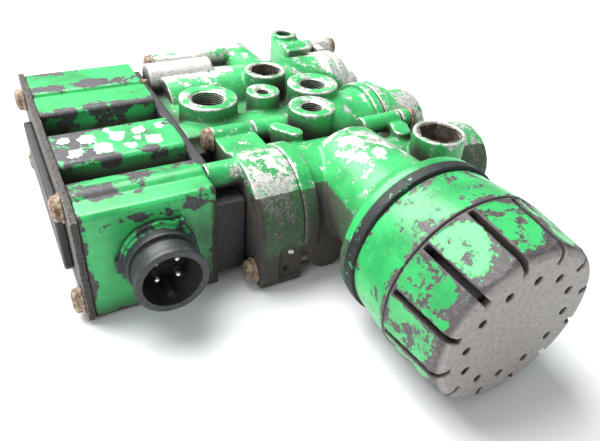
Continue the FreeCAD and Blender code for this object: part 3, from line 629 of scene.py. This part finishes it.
@dataclass
class Castings:
    """Die-cast body, its two relay covers, the guide cap and the supply cover."""

    shop: Workshop
    bore_mm: float = 27.0
    port_plane_mm: float = 68.4
    front_axis: tuple[float, float] = (-17.0, 34.0)
    rear_axis: tuple[float, float] = (39.0, 34.0)
    bore_play_mm: float = 0.3
    rim_depth_mm: float = 0.9
    darker_below_mm: float = 25.0
    shaded_front_mm: float = -32.0
    shaded_below_mm: float = 56.0
    spots_mm: float = 75.0
    spots: tuple[Point, ...] = (
        (20, -46, 4), (29, -51, 4.5), (37, -43, 4), (26, -33, 4.5), (38, -31, 3.5), (45, -52, 3),
    )
    bare: tuple[Patch, ...] = (
        Patch((-26, -22, 64), (14, 26, 12), 0.22),
        Patch((-20, 113, 62), (28, 20, 12), 0.62),
        Patch((100, 105, 55), (26, 28, 22), 0.42),
        Patch((32, -40, 72), (20, 22, 14), 0.06),
        Patch((-25, -42, 50), (14, 8, 16), 0.18),
        Patch((29, 140, 60), (20, 14, 14), 0.35),
        Patch((115, 38, 40), (14, 30, 26), 0.24),
        Patch((32, -85, 46), (50, 5, 50), -0.34),
    )

    shaded: tuple[Patch, ...] = (
        Patch((-39, -17, 28), (4.2, 40, 30), 0.62),
        Patch((8, -48, 22), (14, 10, 22), 0.40),
        Patch((-46, 60, 30), (5, 80, 26), 0.5),
        Patch((50, 18, 30), (50, 14, 22), 0.30),
        Patch((50, 68, 34), (50, 10, 22), 0.22),
    )

    bleached: tuple[Patch, ...] = (
        Patch((-20, 113, 62), (30, 24, 12), 0.8),
        Patch((104, 105, 50), (24, 28, 26), 0.7),
        Patch((-25, -20, 60), (16, 24, 10), 0.4),
    )

    def open_bores(self, item: bpy.types.Object) -> None:
        """Keep the piston bores clear of the pistons after the edges were softened."""
        places = corners(item)
        for (y, z), low, high in ((self.front_axis, -40, 3), (self.rear_axis, 69, 96)):
            side = places[:, 1:] - np.array((y, z))
            radius = np.hypot(side[:, 0], side[:, 1])
            near = (places[:, 0] > low) & (places[:, 0] < high)
            near &= (radius > self.bore_mm - 1.6) & (radius < self.bore_mm + self.bore_play_mm)
            side[near] *= ((self.bore_mm + self.bore_play_mm) / radius[near])[:, None]
            places[near, 1:] = side[near] + np.array((y, z))
        item.data.vertices.foreach_set("co", (places * MM).ravel())
        item.data.update()

    def weather(self, item: bpy.types.Object) -> None:
        """Wear rims and proud places bare, darken the lower parts, and paint shade on the shaded places
        and the low front.
        """
        places = corners(item)
        bare = patch_values(item, self.bare, 0.0)
        on_rims = (places[:, 2] > self.port_plane_mm - self.rim_depth_mm) & (places[:, 1] > -45)
        bare += 0.16 * on_rims
        paint_attribute(item, Wear.BARE, bare)
        # Darker towards the bottom.
        grime_and_shade = 0.03 + 0.62 * np.clip((self.darker_below_mm - places[:, 2]) / 20, 0, 1)
        # Painted shade on the faces and gaps listed in shaded.
        grime_and_shade += patch_values(item, self.shaded, 0.0)
        # Painted shade: everything in front of y = -32 mm and below z = 56 mm is darkened as if it lay
        # in shade.
        shaded_low_front = (places[:, 1] < self.shaded_front_mm) & (places[:, 2] < self.shaded_below_mm)
        grime_and_shade += 0.48 * shaded_low_front
        paint_attribute(item, Wear.GRIME_AND_SHADE, grime_and_shade)
        marks = [
            Patch((x, y, self.spots_mm), (reach, reach * 1.4, 9), 0.50) for x, y, reach in self.spots
        ]
        paint_attribute(item, Wear.MARK, patch_values(item, marks, 0.0))
        paint_attribute(item, Wear.PALE_AND_SHEEN, patch_values(item, self.bleached, 0.0))

    def shape(self, item: bpy.types.Object) -> None:
        """Finish one casting's mesh."""
        self.open_bores(item)
        self.weather(item)

    def build(self) -> None:
        """Build the castings."""
        self.shop.skin("main_body", CASTING, 0.85, 3, self.shape, BODY_TRIANGLES)
        self.shop.skin("front_relay_cover", CASTING, 0.6, 4, self.shape)
        for node in ("rear_relay_cover", "front_guide_cap", "supply_end_cover"):
            self.shop.skin(node, WORN_CASTING, 0.6, 4, self.shape)
        self.shop.dress_node("rear_guide_cap", MACHINED)


@dataclass
class SolenoidBlock:
    """Moulded solenoid housing with its end plate, pad and manifold."""

    shop: Workshop
    top_mm: float = 66.0
    darker_below_mm: float = 26.0
    right_face_mm: float = -58.0
    blots: tuple[Point, ...] = (
        (-110, 19, 4.2), (-102, 32, 4.6), (-96, 20, 5.2), (-86, 30, 4.6), (-82, 18, 3.4),
        (-74, 33, 4.2), (-69, 21, 5.0), (-113, 34, 3.4), (-62, 34, 3.2), (-90, 38, 2.2),
        (-77, 25, 2.0),
    )
    bare: tuple[Patch, ...] = (
        Patch((-114, -12, 64), (7, 12, 6), 0.36),
        Patch((-96, -17, 64), (16, 7, 6), 0.34),
        Patch((-80, -8, 64), (12, 4, 6), 0.30),
        Patch((-62, -5, 64), (8, 4, 8), 0.34),
        Patch((-110, 26, 66), (13, 17, 5), 0.40),
        Patch((-86, 12, 66), (26, 3, 6), 0.25),
        Patch((-86, 42, 66), (34, 3, 6), 0.22),
        Patch((-90, 103, 66), (36, 5, 7), 0.44),
        Patch((-88, 69, 66), (36, 3, 4), 0.36),
        Patch((-86, 126, 66), (34, 4, 7), 0.22),
        Patch((-86, -34, 57), (34, 3, 2.4), 0.22),
        Patch((-119, -34, 32), (2, 3, 34), 0.34),
        Patch((-55.5, -34, 32), (2.4, 3, 34), 0.36),
        Patch((-86, -34, 2), (34, 3, 3), 0.3),
        Patch((-88, 3, 54), (40, 7, 12), 0.26),
        Patch((-88, 56, 54), (40, 13, 14), 0.26),
    )

    shaded: tuple[Patch, ...] = (
        Patch((-60, -35, 30), (6, 3, 30), 0.35),
        Patch((-88, 56, 53), (40, 13, 5), 0.5),
        Patch((-88, 3, 53), (40, 7, 5), 0.5),
    )

    def weather(self, item: bpy.types.Object) -> None:
        """Flake the paint along the humps, leave shapeless white blots on the middle one, and paint
        shade on the right end face, the front corner and the grooves.
        """
        places = corners(item)
        paint_attribute(item, Wear.BARE, patch_values(item, self.bare, 0.0))
        # Darker towards the bottom.
        grime_and_shade = 0.34 * np.clip((self.darker_below_mm - places[:, 2]) / self.darker_below_mm, 0, 1)
        # Painted shade on the right end face next to the housing, and through shaded on the front
        # corner and in the grooves between the humps.
        grime_and_shade += 0.5 * np.clip((places[:, 0] - self.right_face_mm) / 3, 0, 1) * (places[:, 2] < 58)
        grime_and_shade += patch_values(item, self.shaded, 0.0)
        paint_attribute(item, Wear.GRIME_AND_SHADE, grime_and_shade)
        marks = [
            Patch((x, y, self.top_mm), (reach, reach * 1.2, 4), 0.55) for x, y, reach in self.blots
        ]
        paint_attribute(item, Wear.MARK, patch_values(item, marks, 0.0))
        paint_even(item, Wear.PALE_AND_SHEEN)

    def build(self) -> None:
        """Build the block."""
        self.shop.skin("solenoid_housing", BLOCK_PLASTIC, 0.7, 5, self.weather)
        self.shop.skin("end_plate", PLATE, 0.42, 4)
        self.shop.skin("end_pad", PAD, 0.7, 4)
        self.shop.skin("pilot_manifold", MANIFOLD, 0.7, 3)


@dataclass
class Silencer:
    """Push-in silencer: sealing ring, collar and slotted cap."""

    shop: Workshop
    axis: tuple[float, float] = (32.0, 45.5)
    panels: int = 12
    end_mm: float = -156.0
    start_mm: float = -122.0
    collar_end_mm: float = -97.0
    bare_radius_mm: float = 39.5
    face_radius_mm: float = 41.5
    face_mm: float = -154.2

    def weather_cap(self, item: bpy.types.Object) -> None:
        """Wear the paint at each panel's sides and ends, leave none on the end face, and paint a sheen
        on the end face.
        """
        places = corners(item)
        side = places[:, [0, 2]] - np.array(self.axis)
        turn = np.degrees(np.arctan2(side[:, 0], side[:, 1]))
        pitch = 360 / self.panels
        across = 0.5 - np.abs(((turn / pitch) % 1.0) - 0.5)
        run = (places[:, 1] - self.end_mm) / (self.start_mm - self.end_mm)
        bare = 0.03 + 0.34 * np.clip((across - 0.36) / 0.12, 0, 1)
        bare += 0.7 * np.clip((0.17 - run) / 0.17, 0, 1)
        bare += 0.16 * np.clip((run - 0.93) / 0.07, 0, 1)
        bare += 0.14 * np.clip((self.axis[1] - 8 - places[:, 2]) / 30, 0, 1)
        radius = np.hypot(side[:, 0], side[:, 1])
        bare += 1.0 * (radius < self.bare_radius_mm)
        face = radius < self.face_radius_mm
        paint_attribute(item, Wear.BARE, bare)
        # Painted sheen: the end face gets the lighter colour and less darkening, as if it caught the
        # light.
        paint_attribute(item, Wear.PALE_AND_SHEEN, np.clip((self.face_mm - places[:, 1]) / 1.2, 0, 1) * face)
        paint_attribute(item, Wear.GRIME_AND_SHADE, np.full(len(places), 0.16) - 0.14 * face)
        paint_even(item, Wear.MARK)

    def weather_collar(self, item: bpy.types.Object) -> None:
        """Keep most of the collar's paint, flaking at its two rims."""
        places = corners(item)
        bare = 0.20 * (places[:, 1] < self.start_mm + 3) + 0.16 * (places[:, 1] > self.collar_end_mm)
        paint_attribute(item, Wear.BARE, bare - 0.10)
        paint_even(item, Wear.PALE_AND_SHEEN)
        paint_even(item, Wear.GRIME_AND_SHADE, 0.02)
        paint_even(item, Wear.MARK)

    def weather_ring(self, item: bpy.types.Object) -> None:
        """Set every wear attribute of the ring to zero."""
        for kind in Wear:
            paint_even(item, kind)

    def build(self) -> None:
        """Build the silencer."""
        self.shop.skin("silencer_collar", SILENCER_PLASTIC, 0.6, 3, self.weather_collar)
        self.shop.skin("silencer_cap", SILENCER_PLASTIC, 0.5, 3, self.weather_cap)
        self.shop.skin("silencer_seal_ring", SPRAYED_RUBBER, 0.6, 4, self.weather_ring)


@dataclass
class Ports:
    """Threads in the open ports and the two hexagon socket plugs."""

    shop: Workshop
    pitch_mm: float = 1.5
    plane_mm: float = 68.4
    lead_in_mm: float = 1.0
    sunk_mm: float = 0.5
    proud_mm: float = 0.25
    wall_mm: float = 0.3
    threads: tuple[tuple[str, float, float, float, float], ...] = (
        ("supply", -25.0, 55.0, 10.3, 14.0),
        ("pilot", 11.0, 53.0, 4.3, 8.0),
        ("rear_delivery", 47.0, 53.0, 8.6, 12.0),
        ("front_delivery", 30.0, 23.0, 6.8, 10.0),
    )

    def thread(self, name: str, x: float, y: float, radius: float, depth: float) -> None:
        """Line one port with a run of thread.

        Args:
            name: Port's name.
            x: Place of the port.
            y: Place of the port.
            radius: Radius of the port's hole.
            depth: Length of the thread.
        """
        centre = Vector((x, y, self.plane_mm - self.lead_in_mm)) * MM
        bpy.ops.object.select_all(action="DESELECT")
        crest, root = radius - self.proud_mm, radius + self.sunk_mm
        bpy.ops.mesh.primitive_circle_add(vertices=64, radius=root * MM, location=centre)
        item = bpy.context.object
        item.name = f"{name}_port_thread"
        bpy.ops.object.transform_apply(location=True, rotation=True, scale=True)
        bpy.ops.object.mode_set(mode="EDIT")
        bpy.ops.mesh.select_all(action="SELECT")
        turns = int(depth / self.pitch_mm)
        for _ in range(turns):
            for share in (crest / root, 1.0, root / crest, 1.0):
                bpy.ops.mesh.extrude_region_move(
                    TRANSFORM_OT_translate={"value": (0, 0, -self.pitch_mm * MM / 4)}
                )
                bpy.ops.transform.resize(value=(share, share, 1), center_override=centre)
        bpy.ops.object.mode_set(mode="OBJECT")
        modify(item, "SOLIDIFY", thickness=self.wall_mm * MM, offset=1.0)
        select_only(item)
        bpy.ops.object.mode_set(mode="EDIT")
        bpy.ops.mesh.select_all(action="SELECT")
        bpy.ops.mesh.normals_make_consistent(inside=False)
        bpy.ops.object.mode_set(mode="OBJECT")
        bpy.ops.object.shade_smooth_by_angle(angle=math.radians(40))
        self.shop.dress(item, MACHINED)
        self.shop.settle(item, Body.HOUSING, "painted_casting")

    def build(self) -> None:
        """Build threads and plugs."""
        for row in self.threads:
            self.thread(*row)
        for node in ("front_socket_plug", "rear_socket_plug"):
            self.shop.skin(node, PLUG, 0.3, 2)


@dataclass
class Fittings:
    """Cable socket, screws and pin."""

    shop: Workshop
    painted: tuple[Patch, ...] = (
        Patch((-86, -36.5, 50), (16, 3.4, 8), -0.40),
        Patch((-100, -36.5, 40), (5, 3, 12), -0.2),
    )

    def weather_socket(self, item: bpy.types.Object) -> None:
        """Leave a little paint on top of the socket's root."""
        paint_attribute(item, Wear.BARE, patch_values(item, self.painted, 0.1))
        paint_even(item, Wear.GRIME_AND_SHADE, -0.1)
        paint_even(item, Wear.MARK)
        paint_even(item, Wear.PALE_AND_SHEEN)

    def build(self) -> None:
        """Build the fittings."""
        self.shop.skin("cable_socket", SOCKET, 0.33, 2, self.weather_socket)
        self.shop.skin("socket_pins", PIN, 0.22, 2)
        self.shop.dress_node("socket_seal", RUBBER)
        for node in (
            "solenoid_block_screws", "front_cover_screws", "rear_cover_screws",
            "supply_cover_screws", "passage_screw",
        ):
            self.shop.skin(node, RUST, 0.33, 4)
        self.shop.dress_node("cover_locating_pin", MACHINED)


@dataclass
class WorkingParts:
    """Parts inside the castings and the block."""

    shop: Workshop

    def build(self) -> None:
        """Give each inner part the finish of what it is made of."""
        for side in ("front", "rear"):
            self.shop.dress_node(f"{side}_relay_piston", PISTON)
            self.shop.dress_node(f"{side}_piston_ring", RUBBER)
            self.shop.dress_node(f"{side}_inlet_valve", RUBBER)
            self.shop.dress_node(f"{side}_valve_guide", MANIFOLD)
            self.shop.dress_node(f"{side}_valve_spring", SPRING)
        for place in ("front", "middle", "back"):
            self.shop.dress_node(f"{place}_coil", COIL)
            self.shop.dress_node(f"{place}_pole_tube", STEEL)
            self.shop.dress_node(f"{place}_armature", STEEL)
            self.shop.dress_node(f"{place}_armature_spring", SPRING)
        self.shop.dress_node("pilot_valve_seats", BRASS)
        self.shop.dress_node("supply_strainer", MESH)
        self.shop.dress_node("damping_sleeve", FIBRE)
        self.shop.dress_node("front_cover_seal", RUBBER)
        self.shop.dress_node("rear_cover_gasket", RUBBER)


@dataclass
class Studio:
    """Pale floor, soft light and the camera."""

    pitch: float = 36.5
    yaw: float = 31.0
    roll: float = 4.9
    place_mm: Point = (-138.0, -254.0, 220.0)
    lens_mm: float = 34.44
    sensor_mm: float = 36.0
    floor_m: float = 6.0
    aim: Point = (0, 0, 0.03)
    room_strength: float = 0.38
    room_colour: tuple[float, float, float, float] = (0.96, 0.98, 1.0, 1.0)

    def camera(self) -> None:
        """Put the camera in place."""
        pitch, yaw, roll = (math.radians(value) for value in (self.pitch, self.yaw, self.roll))
        ahead = Vector((
            math.sin(yaw) * math.cos(pitch), math.cos(yaw) * math.cos(pitch), -math.sin(pitch)
        ))
        level = Vector((math.cos(yaw), -math.sin(yaw), 0))
        upright = level.cross(ahead)
        right = math.cos(roll) * level + math.sin(roll) * upright
        up = math.cos(roll) * upright - math.sin(roll) * level
        data = bpy.data.cameras.new("camera")
        data.lens = self.lens_mm
        data.sensor_width = self.sensor_mm
        data.clip_start = 0.01
        item = bpy.data.objects.new("camera", data)
        bpy.context.scene.collection.objects.link(item)
        turn = Matrix((right, up, -ahead)).transposed().to_4x4()
        item.matrix_world = Matrix.Translation(Vector(self.place_mm) * MM) @ turn
        bpy.context.scene.camera = item

    def floor(self) -> None:
        """Lay the floor."""
        bpy.ops.object.select_all(action="DESELECT")
        bpy.ops.mesh.primitive_plane_add(size=self.floor_m, location=(0, 0, 0))
        item = bpy.context.object
        item.name = "floor"
        material, tree, shader = new_material("matt_white_card")
        place = add_node(tree, "TexCoord").outputs["Object"]
        tone = ramp(tree, grain(tree, place, 60.0, 3.0), 0.2, 0.8)
        tree.links.new(
            blend_colour(tree, tone, srgb("#f6f6f8"), srgb("#f1f2f4")), shader.inputs["Base Color"]
        )
        shader.inputs["Roughness"].default_value = 0.6
        item.data.materials.append(material)

    def light(self, name: str, place: Point, size: float, power: float) -> None:
        """Add one soft area light.

        Args:
            name: Name of the light.
            place: Where it stands, in metres.
            size: Diameter in metres.
            power: Watts.
        """
        data = bpy.data.lights.new(name, "AREA")
        data.shape = "DISK"
        data.size = size
        data.energy = power
        item = bpy.data.objects.new(name, data)
        bpy.context.scene.collection.objects.link(item)
        item.location = place
        item.rotation_euler = (Vector(self.aim) - Vector(place)).to_track_quat("-Z", "Y").to_euler()

    def build(self) -> None:
        """Build the studio."""
        self.camera()
        self.floor()
        self.light("window", (-0.30, 0.60, 1.10), 1.3, 40)
        self.light("fill", (-0.9, -0.5, 0.45), 0.6, 4)
        world = bpy.data.worlds.new("bright_room")
        world.use_nodes = True
        background = world.node_tree.nodes["Background"]
        background.inputs["Color"].default_value = self.room_colour
        background.inputs["Strength"].default_value = self.room_strength
        bpy.context.scene.world = world
        bpy.context.scene.view_settings.view_transform = "Standard"


def main() -> None:
    """Build the valve's looks in order."""
    logging.basicConfig(level=logging.INFO, format="%(message)s")
    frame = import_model()
    slots = {row["node"]: row["material_slot"] for row in frame["record"]["subparts"]}
    shop = Workshop(frame["nodes"], slots)
    parts = (
        Castings(shop), SolenoidBlock(shop), Silencer(shop), Ports(shop), Fittings(shop),
        WorkingParts(shop), Studio(),
    )
    for part in parts:
        LOG.info("building %s", type(part).__name__)
        part.build()


if __name__ == "__main__":
    main()
